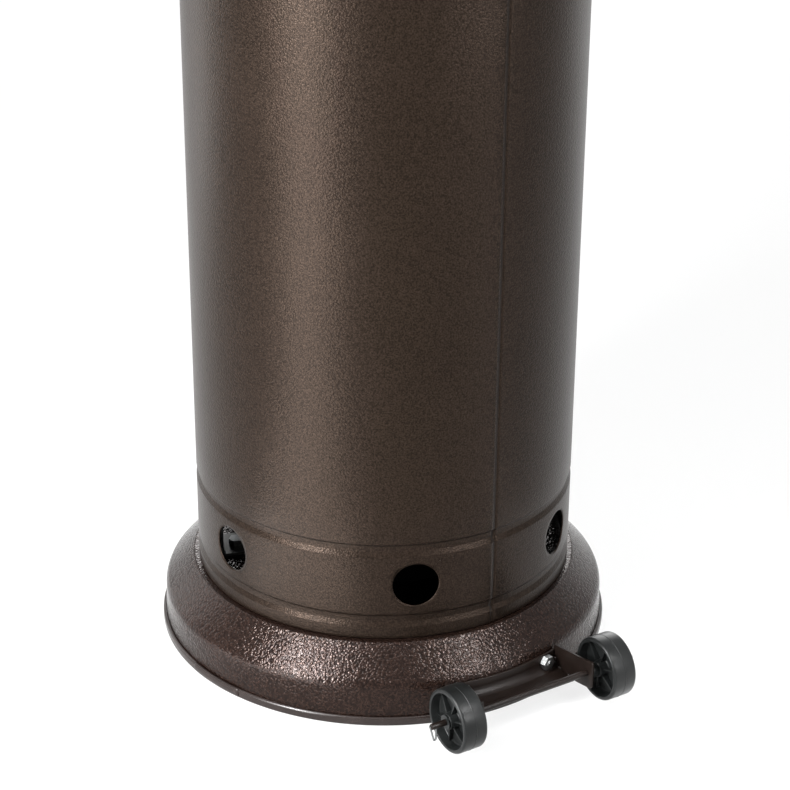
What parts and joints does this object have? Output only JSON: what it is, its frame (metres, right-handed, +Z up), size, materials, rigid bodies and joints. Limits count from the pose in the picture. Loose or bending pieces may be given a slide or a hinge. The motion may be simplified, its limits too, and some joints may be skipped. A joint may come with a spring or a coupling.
{
  "type": "outdoor heater",
  "caption": "Free-standing gas patio heater: stepped round base with wheels, round housing over a gas cylinder, post, emitter and dome reflector.",
  "frame": {"origin": "centre of the foot on the floor", "axes": "+Z up along the post, -Y towards the control knob, +Y towards the wheels"},
  "size_m": [0.8079, 0.808, 2.2147],
  "materials": {
    "bronze_paint": "hammered dark bronze powder coat",
    "edge_trim": "dark satin edge trim",
    "bracket_paint": "smooth dark brown paint",
    "wheel_plastic": "satin moulded charcoal plastic",
    "zinc_steel": "zinc plated",
    "leg_steel": "galvanised strap",
    "cylinder_paint": "dark grey cylinder paint",
    "valve_brass": "machined brass",
    "regulator_alloy": "cast zinc alloy",
    "black_plastic": "black moulded plastic",
    "hose_rubber": "black hose rubber",
    "stainless": "stainless sheet",
    "ceramic": "glazed ceramic",
    "reflector_aluminium": "spun aluminium"
  },
  "bodies": {
    "frame": {"base_pan": "bronze_paint", "post": "bronze_paint", "control_housing": "bronze_paint", "base_edge_trim": "edge_trim", "wheel_bracket": "bracket_paint", "wheel_axle": "bracket_paint", "axle_spacers": "wheel_plastic", "axle_washers": "wheel_plastic", "bracket_bolts": "zinc_steel", "bracket_nuts": "zinc_steel", "cotter_pins": "zinc_steel", "leg_foot_bolts": "zinc_steel", "leg_foot_nuts": "zinc_steel", "flange_bolts": "zinc_steel", "flange_nuts": "zinc_steel", "head_clamp_screws": "zinc_steel", "emitter_screws": "zinc_steel", "reflector_studs": "zinc_steel", "reflector_spacers": "zinc_steel", "reflector_cap_nuts": "zinc_steel", "hose_clamps": "zinc_steel", "support_leg_1": "leg_steel", "support_leg_2": "leg_steel", "support_leg_3": "leg_steel", "post_flange": "leg_steel", "gas_cylinder": "cylinder_paint", "cylinder_foot_ring": "cylinder_paint", "cylinder_collar": "cylinder_paint", "cylinder_valve": "valve_brass", "burner_orifice": "valve_brass", "gas_inlet_fitting": "valve_brass", "pilot_burner": "valve_brass", "thermocouple": "valve_brass", "gas_tube": "valve_brass", "regulator": "regulator_alloy", "gas_valve": "regulator_alloy", "control_bezel": "black_plastic", "igniter_body": "black_plastic", "tilt_switch": "black_plastic", "gas_hose": "hose_rubber", "emitter_screen": "stainless", "emitter_cap": "stainless", "emitter_deck": "stainless", "burner_cup": "stainless", "burner_venturi": "stainless", "spark_electrode": "ceramic", "reflector_dome": "reflector_aluminium"},
    "tank_housing": {"housing_shell": "bronze_paint", "housing_cap": "bronze_paint", "housing_bush": "black_plastic", "cap_screws": "zinc_steel"},
    "left_wheel": {"wheel_left": "wheel_plastic"},
    "right_wheel": {"wheel_right": "wheel_plastic"},
    "stem_push": {"valve_thrust_washer": "zinc_steel"},
    "knob": {"valve_stem": "zinc_steel", "control_knob": "black_plastic"},
    "igniter": {"igniter_button": "black_plastic"},
    "handwheel": {"valve_handwheel": "black_plastic"},
    "coupling": {"coupling_nut": "black_plastic"}
  },
  "joints": [
    {"name": "housing_lift", "type": "slide", "parent": "frame", "child": "tank_housing", "axis": [0, 0, 1], "range_m": [0, 0.65]},
    {"name": "wheel_left_spin", "type": "hinge", "parent": "frame", "child": "left_wheel", "pos_m": [-0.0837, 0.265, 0.0405], "axis": [1, 0, 0], "continuous": true},
    {"name": "wheel_right_spin", "type": "hinge", "parent": "frame", "child": "right_wheel", "pos_m": [0.0837, 0.265, 0.0405], "axis": [1, 0, 0], "continuous": true},
    {"name": "knob_push", "type": "slide", "parent": "frame", "child": "stem_push", "axis": [0, 1, 0], "range_m": [0, 0.004], "stiffness_N_per_m": 600},
    {"name": "knob_turn", "type": "hinge", "parent": "stem_push", "child": "knob", "pos_m": [-0.02, -0.109, 1.679], "axis": [0, -1, 0], "range_deg": [0, 180]},
    {"name": "igniter_press", "type": "slide", "parent": "frame", "child": "igniter", "axis": [0, 1, 0], "range_m": [0, 0.005], "stiffness_N_per_m": 600},
    {"name": "handwheel_turn", "type": "hinge", "parent": "frame", "child": "handwheel", "pos_m": [0, 0, 0.525], "axis": [0, 0, 1], "range_deg": [0, 720]},
    {"name": "coupling_turn", "type": "hinge", "parent": "frame", "child": "coupling", "pos_m": [0.02973, 0.02677, 0.4814], "axis": [0.7431, 0.6691, 0], "continuous": true}
  ]
}
